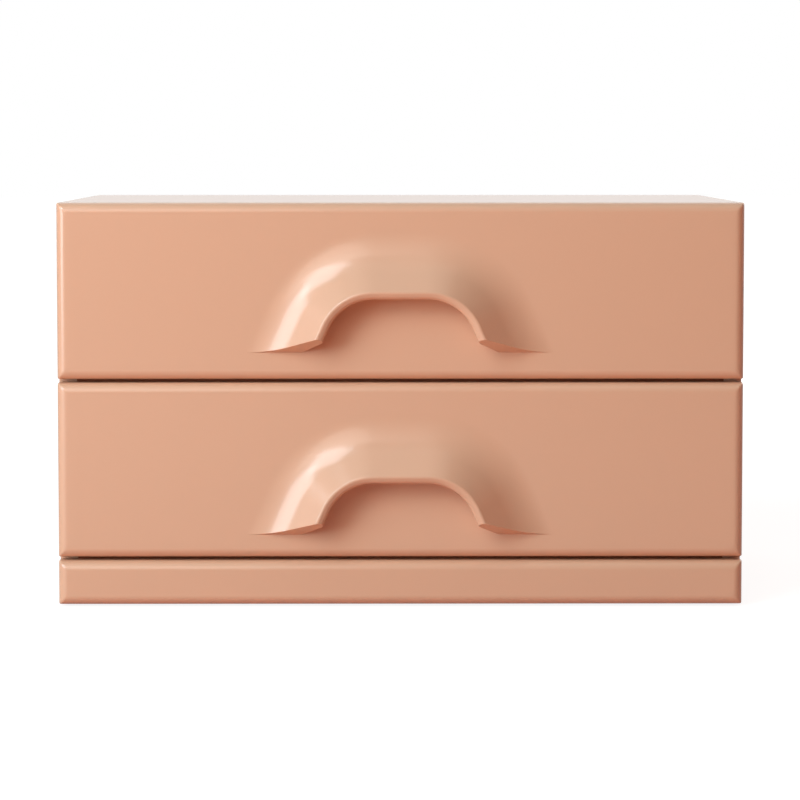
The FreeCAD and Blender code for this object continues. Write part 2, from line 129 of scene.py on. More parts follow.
# Shared steps of modelling
def block(low, high):
    """A bmesh of a plain board between two opposite corners."""
    bm = bmesh.new()
    low, high = Vector(low), Vector(high)
    placed = Matrix.Translation((low + high) / 2) @ Matrix.Diagonal((*(high - low), 1))
    bmesh.ops.create_cube(bm, size=1, matrix=placed)
    return bm


def rounded(bm, edges, radius, segments):
    """Rounds the edges over."""
    bmesh.ops.bevel(
        bm, geom=edges, offset=radius, offset_type="OFFSET", affect="EDGES", segments=segments, profile=0.5,
        material=-1, clamp_overlap=True,
    )


def edges_where(bm, wanted):
    return [e for e in bm.edges if wanted(e)]


def on_plane(edge, axis, place, reach=1e-5):
    return all(abs(v.co[axis] - place) < reach for v in edge.verts)


def place_of(part):
    """Where a vertex lies, or the middle of the corners of an edge or a face, as a key to sort by."""
    corners = [part] if isinstance(part, bmesh.types.BMVert) else part.verts
    return tuple(sum((v.co for v in corners), Vector()) / len(corners))


def in_order(bm):
    """Sorts a bmesh by place, because spin and extrude return their faces in another order each run."""
    for parts in (bm.verts, bm.edges, bm.faces):
        for rank, part in enumerate(sorted(parts, key=place_of)):
            part.index = rank
        parts.sort()


def piece(name, bm, material, body, replaced=()):
    """Turns a bmesh into a piece that rides on its body, smooth where its faces meet gently."""
    in_order(bm)
    bmesh.ops.recalc_face_normals(bm, faces=bm.faces)
    for face in bm.faces:
        face.smooth = True
    for edge in bm.edges:
        edge.smooth = edge.is_manifold and edge.calc_face_angle(0) < crease_angle
    mesh = bpy.data.meshes.new(name)
    bm.to_mesh(mesh)
    bm.free()
    mesh.materials.append(material)
    obj = bpy.data.objects.new(name, mesh)
    bpy.context.scene.collection.objects.link(obj)
    even = obj.modifiers.new("even_normals", "WEIGHTED_NORMAL")
    even.keep_sharp = True
    even.weight = 90
    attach(obj, body)
    if replaced:
        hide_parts(*replaced)


# Drawer fronts and plinth fascia
def rounded_front(low, high):
    """A board whose front edges are rounded over, with softened mitres at its corners."""
    bm = block(low, high)
    rounded(bm, edges_where(bm, lambda e: on_plane(e, 1, low.y)), front_edge_radius, front_edge_steps)
    corners = [(x, z) for x in (low.x, high.x) for z in (low.z, high.z)]

    def on_mitre(vert):
        ways = [(abs(vert.co.x - x), abs(vert.co.z - z)) for x, z in corners]
        return any(abs(across - up) < same_point and across < front_edge_radius * 1.01 for across, up in ways)

    def runs_back(edge):
        return abs(edge.verts[0].co.y - edge.verts[1].co.y) > same_point

    mitres = edges_where(bm, lambda e: on_mitre(e.verts[0]) and on_mitre(e.verts[1]) and runs_back(e))
    rounded(bm, mitres, mitre_softness, mitre_steps)
    return bm


def pull_section(bm, face_y, crest_z):
    """The ridge's section over the middle of the arch: hollow toe, ramp, crest, band, rim and inner wall."""
    toe = bm.verts.new((0, face_y, crest_z + toe_place))
    hollow_centre = (0, face_y - pull_toe_radius, toe.co.z)
    hollow = bmesh.ops.spin(
        bm, geom=[toe], cent=hollow_centre, axis=RIGHT, angle=-ramp_slope, steps=pull_toe_steps,
        use_merge=False,
    )
    end = next(g for g in hollow["geom_last"] if isinstance(g, bmesh.types.BMVert))

    def onwards(vert, up, out):
        following = bmesh.ops.extrude_vert_indiv(bm, verts=[vert])["verts"][0]
        following.co = (0, face_y - out, crest_z + up)
        return following

    crest = onwards(end, 0, pull_height)
    across = Vector((pull_band_width, pull_band_drop)).normalized()
    middle = onwards(
        crest, -pull_band_width / 2 + across.y * pull_band_crown,
        pull_height - pull_band_drop / 2 + across.x * pull_band_crown,
    )
    rim = onwards(middle, -pull_band_width, pull_height - pull_band_drop)
    onwards(rim, pull_undercut, 0)
    corners = (rim, pull_rim_round, 8), (crest, pull_crest_round, 6), (middle, pull_band_width, 6)
    for corner, radius, segments in corners:
        back, ahead = [e.other_vert(corner).co - corner.co for e in corner.link_edges]
        bmesh.ops.bevel(
            bm, geom=[corner], offset=radius / math.tan(back.angle(ahead) / 2), offset_type="OFFSET",
            affect="VERTICES", segments=segments, profile=0.5, material=-1,
        )


def pull_ridge(face_y, crest_z):
    """The arched ridge as an open shell that stands on the face of a front.

    Its left half is the section drawn along the level stretch, round the shoulder and down the leg, to the
    leaning plane of the leg's facet.
    """
    bm = bmesh.new()
    pull_section(bm, face_y, crest_z)
    level = bmesh.ops.extrude_edge_only(bm, edges=bm.edges[:])["geom"]
    line = [g for g in level if isinstance(g, bmesh.types.BMVert)]
    bmesh.ops.translate(bm, verts=line, vec=-RIGHT * pull_half_flat)
    edges = [g for g in level if isinstance(g, bmesh.types.BMEdge)]
    shoulder_centre = Vector((-pull_half_flat, face_y, crest_z - pull_crest_radius))
    shoulder = bmesh.ops.spin(
        bm, geom=line + edges, cent=shoulder_centre, axis=(0, -1, 0), angle=pull_leg_angle,
        steps=pull_shoulder_steps, use_merge=False,
    )
    last_edges = [g for g in shoulder["geom_last"] if isinstance(g, bmesh.types.BMEdge)]
    leg = bmesh.ops.extrude_edge_only(bm, edges=last_edges)["geom"]
    downwards = Vector((-math.cos(pull_leg_angle), 0, -math.sin(pull_leg_angle)))
    foot = Vector((0, face_y, crest_z - pull_leg_drop))
    facet_way = Vector((0, -pull_facet_lean, -1))
    for vert in (g for g in leg if isinstance(g, bmesh.types.BMVert)):
        vert.co += downwards * ((foot - vert.co).dot(facet_way) / downwards.dot(facet_way))
    rim = sorted((g for g in leg if isinstance(g, bmesh.types.BMEdge)), key=place_of)
    ends = [v for e in rim for v in e.verts if sum(other in rim for other in v.link_edges) == 1]
    base = bm.edges.new(ends)
    bmesh.ops.edgeloop_fill(bm, edges=[base] + rim)
    bmesh.ops.mirror(
        bm, geom=bm.verts[:] + bm.edges[:] + bm.faces[:], matrix=Matrix.Identity(4), merge_dist=same_point,
        axis="X",
    )
    bmesh.ops.remove_doubles(bm, verts=bm.verts, dist=same_point)
    in_order(bm)
    return bm


def drawer_front(level):
    """A front and its pull in one skin, as the real one is routed, built up and sprayed."""
    low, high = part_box(level + "_front")
    low.y = high.y - front_thickness
    crest_z = low.z + pull_rises[level]
    bm = rounded_front(low, high)
    face = max((f for f in bm.faces if f.normal.y < -0.99), key=lambda f: f.calc_area())
    outline = list(face.edges)
    bmesh.ops.delete(bm, geom=[face], context="FACES_ONLY")
    ridge = pull_ridge(low.y, crest_z)
    ridge_mesh = bpy.data.meshes.new("ridge")
    ridge.to_mesh(ridge_mesh)
    ridge.free()
    before = set(bm.edges)
    bm.from_mesh(ridge_mesh)
    bpy.data.meshes.remove(ridge_mesh)
    outline += [e for e in bm.edges if e not in before and e.is_boundary]
    bmesh.ops.triangle_fill(bm, edges=outline, use_beauty=True, use_dissolve=False, normal=(0, -1, 0))
    return bm


# Case
def case_shell():
    """The sides and the top, glued at the mitres and lacquered as one."""
    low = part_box("side_panel_left")[0]
    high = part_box("side_panel_right")[1]
    high.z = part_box("top_panel")[1].z
    bm = block(low, high)
    open_faces = [f for f in bm.faces if f.normal.z < -0.5 or abs(f.normal.y) > 0.5]
    bmesh.ops.delete(bm, geom=open_faces, context="FACES")
    bmesh.ops.solidify(bm, geom=bm.faces[:], thickness=case_board)

    def upper_edge(edge):
        return on_plane(edge, 2, high.z) and not on_plane(edge, 1, low.y)

    def rear_side_edge(edge):
        return on_plane(edge, 1, high.y) and (on_plane(edge, 0, low.x) or on_plane(edge, 0, high.x))

    rounded(bm, edges_where(bm, lambda e: upper_edge(e) or rear_side_edge(e)), case_edge_radius, 4)
    return bm


def case_boards():
    """Rails and bottom between the sides, front edges eased; what is housed in the sides is left out."""
    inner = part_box("side_panel_right")[1].x - case_board
    for node in ("middle_rail", "bottom_panel", "front_plinth_rail", "rear_plinth_rail"):
        low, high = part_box(node)
        low.x, high.x = -inner, inner
        high.y -= back_cover
        bm = block(low, high)
        front_edges = edges_where(
            bm, lambda e: on_plane(e, 1, low.y) and not on_plane(e, 0, low.x) and not on_plane(e, 0, high.x),
        )
        rounded(bm, front_edges, board_edge_radius, 3)
        # Their finish is darkened, partly as painted shade for the gaps between the fronts
        piece(node + "_board", bm, finishes["inner_board"], "case", [node])


# Screws, bumpers, glides and ball cages
def solids_of(node):
    """The corners of the box round each separate solid of a CAD node."""
    bm = bmesh.new()
    bm.from_mesh(nodes[node].data)
    bmesh.ops.remove_doubles(bm, verts=bm.verts, dist=same_point)
    left = set(bm.verts)
    boxes = []
    while left:
        reached = [left.pop()]
        for vert in reached:
            near = {e.other_vert(vert) for e in vert.link_edges} & left
            left -= near
            reached += near
        low = Vector(min(v.co[i] for v in reached) for i in range(3))
        high = Vector(max(v.co[i] for v in reached) for i in range(3))
        boxes.append((low, high))
    bm.free()
    return sorted(boxes, key=lambda box: tuple(box[0]))


def turned(outline, steps):
    """A body turned about the Z axis from (radius, height) points that start and end on it."""
    bm = bmesh.new()
    line = [bm.verts.new((radius, 0, height)) for radius, height in outline]
    for lower, upper in zip(line, line[1:]):
        bm.edges.new((lower, upper))
    bmesh.ops.spin(
        bm, geom=bm.verts[:] + bm.edges[:], cent=(0, 0, 0), axis=(0, 0, 1), angle=2 * math.pi, steps=steps,
        use_merge=True,
    )
    bmesh.ops.remove_doubles(bm, verts=bm.verts, dist=same_fine_point)
    return bm


def pan_screw(head_radius, head_height, shank_radius, shank_length):
    """A pan-head screw with a cross recess; its seat is at the origin and its head stands up."""
    bm = bmesh.new()
    bmesh.ops.create_grid(bm, x_segments=3, y_segments=3, size=1)
    arm = head_radius * 0.56
    half_slot = head_radius * 0.12
    for vert in bm.verts:
        for i in (0, 1):
            vert.co[i] = math.copysign(arm if abs(vert.co[i]) > 0.5 else half_slot, vert.co[i])
        vert.co.z = head_height
    cross = [f for f in bm.faces if min(abs(f.calc_center_median()[i]) for i in (0, 1)) < half_slot]
    sunk = bmesh.ops.extrude_face_region(bm, geom=cross)["geom"]
    floor = [g for g in sunk if isinstance(g, bmesh.types.BMVert)]
    bmesh.ops.scale(bm, vec=(0.72, 0.72, 1), verts=floor)
    bmesh.ops.translate(bm, vec=(0, 0, -head_height * 0.55), verts=floor)
    bmesh.ops.delete(bm, geom=[f for f in cross if f.is_valid], context="FACES_ONLY")

    def on_square(vert):
        return max(abs(vert.co.x), abs(vert.co.y)) > arm * 0.99 and vert.co.z > head_height * 0.99

    around = [e for e in bm.edges if all(on_square(v) for v in e.verts) and len(e.link_faces) == 1]
    radius = head_radius * 0.84
    ring = bmesh.ops.create_circle(bm, segments=24, radius=radius)["verts"]
    bmesh.ops.translate(bm, vec=(0, 0, head_height * 0.93), verts=ring)
    edges = edges_where(bm, lambda e: e.verts[0] in ring and e.verts[1] in ring)
    bmesh.ops.bridge_loops(bm, edges=around + edges)
    steps = (
        (head_radius * 0.95, head_height * 0.76), (head_radius, head_height * 0.42), (head_radius, 0),
        (shank_radius, 0), (shank_radius, -shank_length * 0.85), (shank_radius * 0.2, -shank_length),
    )
    for wanted, height in steps:
        grown = bmesh.ops.extrude_edge_only(bm, edges=edges)["geom"]
        ring = [g for g in grown if isinstance(g, bmesh.types.BMVert)]
        edges = [g for g in grown if isinstance(g, bmesh.types.BMEdge)]
        bmesh.ops.scale(bm, vec=(wanted / radius, wanted / radius, 1), verts=ring)
        bmesh.ops.translate(bm, vec=(0, 0, height - ring[0].co.z), verts=ring)
        radius = wanted
    bmesh.ops.edgeloop_fill(bm, edges=edges)
    return bm


def repeated(pattern, places):
    """One bmesh with the pattern moved to every place, a list of matrices; the pattern is used up."""
    mesh = bpy.data.meshes.new("pattern")
    bmesh.ops.recalc_face_normals(pattern, faces=pattern.faces)
    pattern.to_mesh(mesh)
    pattern.free()
    bm = bmesh.new()
    for place in places:
        before = set(bm.verts)
        bm.from_mesh(mesh)
        bmesh.ops.transform(bm, matrix=place, verts=[v for v in bm.verts if v not in before])
    bpy.data.meshes.remove(mesh)
    return bm


def forwards(place):
    return -BACKWARDS


def outwards(place):
    return RIGHT * math.copysign(1, place.x)


def inwards(place):
    return RIGHT * math.copysign(1, -place.x)


def screws(node, body, towards, head_radius, head_height, shank_radius):
    """Screws in place of a node's plain ones; towards gives the way that a shank points from its place."""
    places = []
    for low, high in solids_of(node):
        middle = (low + high) / 2
        way = towards(middle)
        length = abs((high - low).dot(way))
        seat = middle - way * (length / 2 - head_height)
        places.append(Matrix.Translation(seat) @ (-way).to_track_quat("Z", "Y").to_matrix().to_4x4())
    pattern = pan_screw(head_radius, head_height, shank_radius, length - head_height)
    piece(node + "_turned", repeated(pattern, places), finishes["screw_steel"], body, [node])


def bumpers():
    """Soft domed discs that the fronts close against."""
    boxes = solids_of("drawer_bumpers")
    thick = boxes[0][1].y - boxes[0][0].y
    radius = (boxes[0][1].z - boxes[0][0].z) / 2
    outline = [
        (0, 0), (radius, 0), (radius, thick * 0.45), (radius * 0.9, thick * 0.8), (radius * 0.62, thick),
        (0, thick),
    ]
    to_front = Matrix.Rotation(math.radians(90), 4, "X")
    places = [
        Matrix.Translation(((low.x + high.x) / 2, high.y, (low.z + high.z) / 2)) @ to_front
        for low, high in boxes
    ]
    discs = repeated(turned(outline, 24), places)
    rubber = finishes["bumper_rubber"]
    piece("drawer_bumpers_domed", discs, rubber, "case", ["drawer_bumpers"])


def glides():
    """Moulded nail-in glides, with an eased edge and a dimple over the nail."""
    boxes = solids_of("floor_glides")
    radius = (boxes[0][1].x - boxes[0][0].x) / 2
    tip = boxes[0][1].z
    disc = 0.0025
    pin_radius = 0.0015
    point_length = 0.002
    dimple_depth = 0.0007
    eased_width = 0.0014
    outline = [
        (0, dimple_depth), (0.0018, dimple_depth), (0.0024, 0), (radius - eased_width, 0),
        (radius - 0.0004, 0.0005), (radius, eased_width), (radius, disc), (pin_radius, disc),
        (pin_radius, tip - point_length), (0, tip),
    ]
    places = [Matrix.Translation(((low.x + high.x) / 2, (low.y + high.y) / 2, 0)) for low, high in boxes]
    feet = repeated(turned(outline, 32), places)
    piece("floor_glides_moulded", feet, finishes["glide_plastic"], "case", ["floor_glides"])


def ball_cages(node, body):
    """Retainer strips with eased edges, and the steel balls that stand out above and below them."""
    boxes = solids_of(node)
    low, high = boxes[0]
    size = high - low
    strip = block(-size / 2, size / 2)
    rounded(strip, strip.edges[:], cage_edge_radius, 2)
    middles = [Matrix.Translation((low + high) / 2) for low, high in boxes]
    piece(node + "_strips", repeated(strip, middles), finishes["cage_plastic"], body, [node])
    count = int((size.y - ball_pitch / 2) / ball_pitch)
    first = -ball_pitch * (count - 1) / 2
    ball = bmesh.new()
    bmesh.ops.create_icosphere(ball, subdivisions=2, radius=ball_radius)
    places = [m @ Matrix.Translation((0, first + ball_pitch * i, 0)) for m in middles for i in range(count)]
    piece(node + "_balls", repeated(ball, places), balls_steel, body, [node])


# Materials; a pattern's Scale is how often it repeats in a metre, so 1000 divided by its size in millimetres
def linear(hex_code):
    """A linear colour from an sRGB hex code."""
    parts = [int(hex_code[i:i + 2], 16) / 255 for i in (1, 3, 5)]
    return (*[p / 12.92 if p <= 0.04045 else ((p + 0.055) / 1.055) ** 2.4 for p in parts], 1)


def add(tree, kind, settings=None, links=None, colours=()):
    """Adds a node, sets its properties or sockets, and links its sockets to other nodes' outputs.

    colours gives the stops of a colour ramp, as places and sRGB hex codes.
    """
    made = tree.nodes.new(kind)
    for name, value in (settings or {}).items():
        if isinstance(name, str) and hasattr(made, name):
            setattr(made, name, value)
        else:
            made.inputs[name].default_value = value
    for name, source in (links or {}).items():
        tree.links.new(source, made.inputs[name])
    for i, (place, hex_code) in enumerate(colours):
        made.color_ramp.elements[i].position = place
        made.color_ramp.elements[i].color = linear(hex_code)
    return made


def new_material(name):
    material = bpy.data.materials.new(name)
    material.use_nodes = True
    material.node_tree.nodes.clear()
    return material


def stretched(tree, scale):
    """Object coordinates squeezed or drawn out along each axis, for grain and rolling marks."""
    place = add(tree, "ShaderNodeTexCoord").outputs["Object"]
    return add(tree, "ShaderNodeMapping", {"Scale": scale}, {"Vector": place}).outputs["Vector"]


def finish(tree, settings, links=None, height=None, bump=(0.1, 0.0002)):
    """Closes a material with its shader, raised by the height where there is one."""
    links = dict(links or {})
    if height is not None:
        relief = add(tree, "ShaderNodeBump", {"Strength": bump[0], "Distance": bump[1]}, {"Height": height})
        links["Normal"] = relief.outputs["Normal"]
    surface = add(tree, "ShaderNodeBsdfPrincipled", settings, links)
    add(tree, "ShaderNodeOutputMaterial", links={"Surface": surface.outputs["BSDF"]})


def lacquered_mdf():
    """Polyester lacquer sprayed on MDF and polished: an even colour, a wet gloss, and a faint orange peel.

    The peel's waves are about 4 mm wide.
    """
    material = new_material("peach_polyester_lacquer")
    tree = material.node_tree
    place = add(tree, "ShaderNodeTexCoord").outputs["Object"]
    peel = add(tree, "ShaderNodeTexNoise", {"Scale": 260, "Detail": 2, "Roughness": 0.4}, {"Vector": place})
    settings = {
        "Base Color": linear("#DFB394"), "Roughness": 0.5, "IOR": 1.5, "Coat Weight": 1.0,
        "Coat Roughness": 0.18, "Coat IOR": 1.5,
    }
    finish(tree, settings, height=peel.outputs["Fac"], bump=(0.06, 0.0002))
    return material


def satin_mdf_lacquer_and_painted_shade():
    """One thin satin coat on MDF: fibres of 1 mm show as a faint nap, and the colour is a little uneven.

    Its deep red-brown, darker than the outer lacquer, is partly the thin coat and partly painted shade,
    so that the rails seen through the gaps between the fronts look shadowed. Real fibres are finer, and are
    drawn as coarse as they need to show; the clouds are about 6 cm wide.
    """
    material = new_material("satin_mdf_lacquer_and_painted_shade")
    tree = material.node_tree
    place = add(tree, "ShaderNodeTexCoord").outputs["Object"]
    cloud = add(tree, "ShaderNodeTexNoise", {"Scale": 18, "Detail": 4}, {"Vector": place})
    fibres = add(tree, "ShaderNodeTexNoise", {"Scale": 900, "Detail": 3, "Roughness": 0.7}, {"Vector": place})
    # The deep red-brown is partly the thin coat's own colour and partly painted shade
    colour = add(
        tree, "ShaderNodeValToRGB", links={"Fac": cloud.outputs["Fac"]},
        colours=((0.3, "#A8603F"), (0.7, "#B06A49")),
    )
    links = {"Base Color": colour.outputs["Color"]}
    finish(tree, {"Roughness": 0.46, "IOR": 1.5}, links, fibres.outputs["Fac"], (0.25, 0.0002))
    return material


def roller_painted_hdf():
    """Thin hardboard with roller paint in the chest's colour: a fine stipple of about 2 mm, and no gloss.

    Its colour changes a little over about 11 cm, as the roller's load does.
    """
    material = new_material("roller_painted_hardboard")
    tree = material.node_tree
    place = add(tree, "ShaderNodeTexCoord").outputs["Object"]
    cloud = add(tree, "ShaderNodeTexNoise", {"Scale": 9, "Detail": 3}, {"Vector": place})
    stipple = add(tree, "ShaderNodeTexVoronoi", {"Scale": 480}, {"Vector": place}).outputs["Distance"]
    colour = add(
        tree, "ShaderNodeValToRGB", links={"Fac": cloud.outputs["Fac"]},
        colours=((0.3, "#D29D80"), (0.7, "#D6A285")),
    )
    sheen = add(tree, "ShaderNodeMapRange", {"To Min": 0.5, "To Max": 0.62}, {"Value": stipple})
    links = {"Base Color": colour.outputs["Color"], "Roughness": sheen.outputs[0]}
    finish(tree, {"IOR": 1.5}, links, stipple, (0.3, 0.0002))
    return material


def birch_plywood(through, grain, middle):
    """Birch plywood under matt varnish: pale veneer with long soft figure, and edges striped by its plies.

    through and grain are the axes of the board's thickness and of its face veneer's grain, and middle is
    where its mid-thickness lies, as a size from the middle plane for a pair of boards.
    """
    material = new_material("birch_plywood_" + "xyz"[through])
    tree = material.node_tree
    coordinates = add(tree, "ShaderNodeTexCoord")
    axes = add(tree, "ShaderNodeSeparateXYZ", links={0: coordinates.outputs["Object"]})
    facing = add(tree, "ShaderNodeSeparateXYZ", links={0: coordinates.outputs["Normal"]})
    flatness = add(tree, "ShaderNodeMath", {"operation": "ABSOLUTE"}, {0: facing.outputs[through]})
    on_face = add(tree, "ShaderNodeMath", {"operation": "GREATER_THAN", 1: 0.6}, {0: flatness.outputs[0]})

    # Soft figure, about 26 mm wide and 31 cm long
    figure_scale = [38.0, 38.0, 38.0]
    figure_scale[grain] = 3.2
    figure = add(
        tree, "ShaderNodeTexNoise", {"Scale": 1.0, "Detail": 5, "Roughness": 0.55, "Distortion": 0.6},
        {"Vector": stretched(tree, figure_scale)},
    )
    # Pores, 0.7 mm wide and 17 mm long: real ones are finer, and these are as coarse as they need to show
    line_scale = [1400.0, 1400.0, 1400.0]
    line_scale[grain] = 60.0
    lines = add(
        tree, "ShaderNodeTexNoise", {"Scale": 1.0, "Detail": 3}, {"Vector": stretched(tree, line_scale)},
    )
    veneer = add(
        tree, "ShaderNodeValToRGB", links={"Fac": figure.outputs["Fac"]},
        colours=((0.3, "#D8B98A"), (0.7, "#EBD3A9")),
    )
    pores = add(
        tree, "ShaderNodeValToRGB", links={"Fac": lines.outputs["Fac"]},
        colours=((0.35, "#EADFD0"), (0.6, "#FFFFFF")),
    )
    veined = add(
        tree, "ShaderNodeMix", {"data_type": "RGBA", "blend_type": "MULTIPLY", "Factor": 0.6},
        {6: veneer.outputs["Color"], 7: pores.outputs["Color"]},
    )

    from_plane = add(tree, "ShaderNodeMath", {"operation": "ABSOLUTE"}, {0: axes.outputs[through]})
    depth = add(tree, "ShaderNodeMath", {"operation": "SUBTRACT", 1: middle}, {0: from_plane.outputs[0]})
    band = add(tree, "ShaderNodeMath", {"operation": "PINGPONG", 1: ply_thickness}, {0: depth.outputs[0]})
    plies = add(tree, "ShaderNodeMath", {"operation": "DIVIDE", 1: ply_thickness}, {0: band.outputs[0]})
    edge = add(
        tree, "ShaderNodeValToRGB", links={"Fac": plies.outputs[0]},
        colours=((0.42, "#A87C4E"), (0.58, "#DBBD8E")),
    )
    colour = add(
        tree, "ShaderNodeMix", {"data_type": "RGBA"},
        {"Factor": on_face.outputs[0], 6: edge.outputs["Color"], 7: veined.outputs[2]},
    )
    links = {"Base Color": colour.outputs[2]}
    finish(tree, {"Roughness": 0.5, "IOR": 1.5}, links, lines.outputs["Fac"], (0.15, 0.0001))
    return material


def zinc_plated_strip():
    """Cold-rolled steel strip, zinc plated and passivated: rolling lines along it, and a cloudy bloom.

    The lines are drawn 0.4 mm wide and 4 cm long, as coarse as they need to show, and the bloom 18 mm wide.
    """
    material = new_material("zinc_plated_steel_strip")
    tree = material.node_tree
    along = stretched(tree, (2500, 25, 2500))
    rolled = add(tree, "ShaderNodeTexNoise", {"Scale": 1.0, "Detail": 3}, {"Vector": along}).outputs["Fac"]
    place = add(tree, "ShaderNodeTexCoord").outputs["Object"]
    bloom = add(tree, "ShaderNodeTexNoise", {"Scale": 55, "Detail": 3}, {"Vector": place})
    colour = add(
        tree, "ShaderNodeValToRGB", links={"Fac": bloom.outputs["Fac"]},
        colours=((0.3, "#B2B6B9"), (0.7, "#BEBEB8")),
    )
    streaks = add(tree, "ShaderNodeMapRange", {"To Min": 0.26, "To Max": 0.44}, {"Value": rolled})
    links = {"Base Color": colour.outputs["Color"], "Roughness": streaks.outputs[0]}
    finish(tree, {"Metallic": 1.0}, links, rolled, (0.08, 0.0001))
    return material


def plated_screw_steel():
    """Cold-headed steel screws, bright zinc plated: even, with a slightly grainy strike of 0.6 mm."""
    material = new_material("bright_zinc_plated_screws")
    tree = material.node_tree
    place = add(tree, "ShaderNodeTexCoord").outputs["Object"]
    strike = add(tree, "ShaderNodeTexNoise", {"Scale": 1600, "Detail": 2}, {"Vector": place}).outputs["Fac"]
    colour = add(
        tree, "ShaderNodeValToRGB", links={"Fac": strike}, colours=((0.3, "#B4B6B8"), (0.7, "#C6C6C2")),
    )
    links = {"Base Color": colour.outputs["Color"]}
    finish(tree, {"Metallic": 1.0, "Roughness": 0.28}, links, strike, (0.1, 0.0001))
    return material


def polished_ball_steel():
    """Ground and polished bearing steel: darker than the plating, nearly a mirror, hazy over 1 mm."""
    material = new_material("polished_bearing_steel")
    tree = material.node_tree
    place = add(tree, "ShaderNodeTexCoord").outputs["Object"]
    haze = add(tree, "ShaderNodeTexNoise", {"Scale": 900, "Detail": 2}, {"Vector": place}).outputs["Fac"]
    sheen = add(tree, "ShaderNodeMapRange", {"To Min": 0.06, "To Max": 0.14}, {"Value": haze})
    finish(tree, {"Metallic": 1.0, "Base Color": linear("#B2B3B5")}, {"Roughness": sheen.outputs[0]})
    return material


def moulded_plastic(name, dark, light, grain_scale, settings, bump):
    """A moulded plastic or rubber whose tool left a fine even grain, 1 to 2 mm wide here so that it shows."""
    material = new_material(name)
    tree = material.node_tree
    place = add(tree, "ShaderNodeTexCoord").outputs["Object"]
    grain = add(tree, "ShaderNodeTexNoise", {"Scale": grain_scale, "Detail": 2}, {"Vector": place})
    factor = grain.outputs["Fac"]
    colour = add(tree, "ShaderNodeValToRGB", links={"Fac": factor}, colours=((0.3, dark), (0.7, light)))
    finish(tree, settings, {"Base Color": colour.outputs["Color"]}, factor, bump)
    return material


lacquer = lacquered_mdf()
balls_steel = polished_ball_steel()
# Natural acetal: milky, slightly waxy
acetal = moulded_plastic(
    "natural_acetal", "#DAD7CC", "#E6E4DB", 700,
    {"Roughness": 0.36, "IOR": 1.48, "Subsurface Weight": 0.15, "Subsurface Scale": 0.001}, (0.1, 0.0001),
)
# Cast polyurethane: soft and clear to milky; its dulling where fronts press on it is not drawn
polyurethane = moulded_plastic(
    "cast_polyurethane", "#CFCCC3", "#DEDBD2", 500,
    {"Roughness": 0.3, "IOR": 1.5, "Subsurface Weight": 0.3, "Subsurface Scale": 0.002}, (0.06, 0.0001),
)
# Polypropylene: dark brown, with the spark-eroded grain of its tool
polypropylene = moulded_plastic(
    "spark_grained_polypropylene", "#2A231E", "#3A312A", 1100, {"Roughness": 0.55, "IOR": 1.49},
    (0.3, 0.0001),
)
finishes = {
    "peach_lacquer": lacquer,
    # The inner boards' colour is partly painted shade
    "inner_board": satin_mdf_lacquer_and_painted_shade(),
    "back_board": roller_painted_hdf(),
    "birch_plywood": birch_plywood(0, 1, box_half_width - box_board / 2),
    "zinc_plated_steel": zinc_plated_strip(),
    "screw_steel": plated_screw_steel(),
    "cage_plastic": acetal,
    "bumper_rubber": polyurethane,
    "glide_plastic": polypropylene,
}
across_board = birch_plywood(1, 0, 0.0)
bottom_board = birch_plywood(2, 0, 0.0)
for subpart in frame["record"]["subparts"]:
    mesh = nodes[subpart["node"]].data
    mesh.materials.clear()
    if subpart["node"].endswith(("box_front", "box_back")):
        mesh.materials.append(across_board)
    elif subpart["node"].endswith("box_bottom"):
        mesh.materials.append(bottom_board)
    else:
        mesh.materials.append(finishes[subpart["material_slot"]])


# Pieces
levels = ("lower", "upper")
for level in levels:
    front = drawer_front(level)
    piece(level + "_front_skin", front, lacquer, level + "_drawer", [level + "_front"])
plinth = rounded_front(*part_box("plinth_fascia"))
piece("plinth_skin", plinth, lacquer, "case", ["plinth_fascia"])
lacquered_panels = ["side_panel_left", "side_panel_right", "top_panel"]
piece("case_skin", case_shell(), lacquer, "case", lacquered_panels)

case_boards()
screws("fascia_screws", "case", forwards, *board_screw)
screws("case_runner_screws", "case", outwards, *runner_screw)
for level in levels:
    drawer = level + "_drawer"
    screws(level + "_front_screws", drawer, forwards, *board_screw)
    screws(level + "_runner_screws", drawer, inwards, *runner_screw)
    ball_cages(level + "_outer_ball_cages", level + "_outer_cages")
    ball_cages(level + "_inner_ball_cages", level + "_inner_cages")
bumpers()
glides()


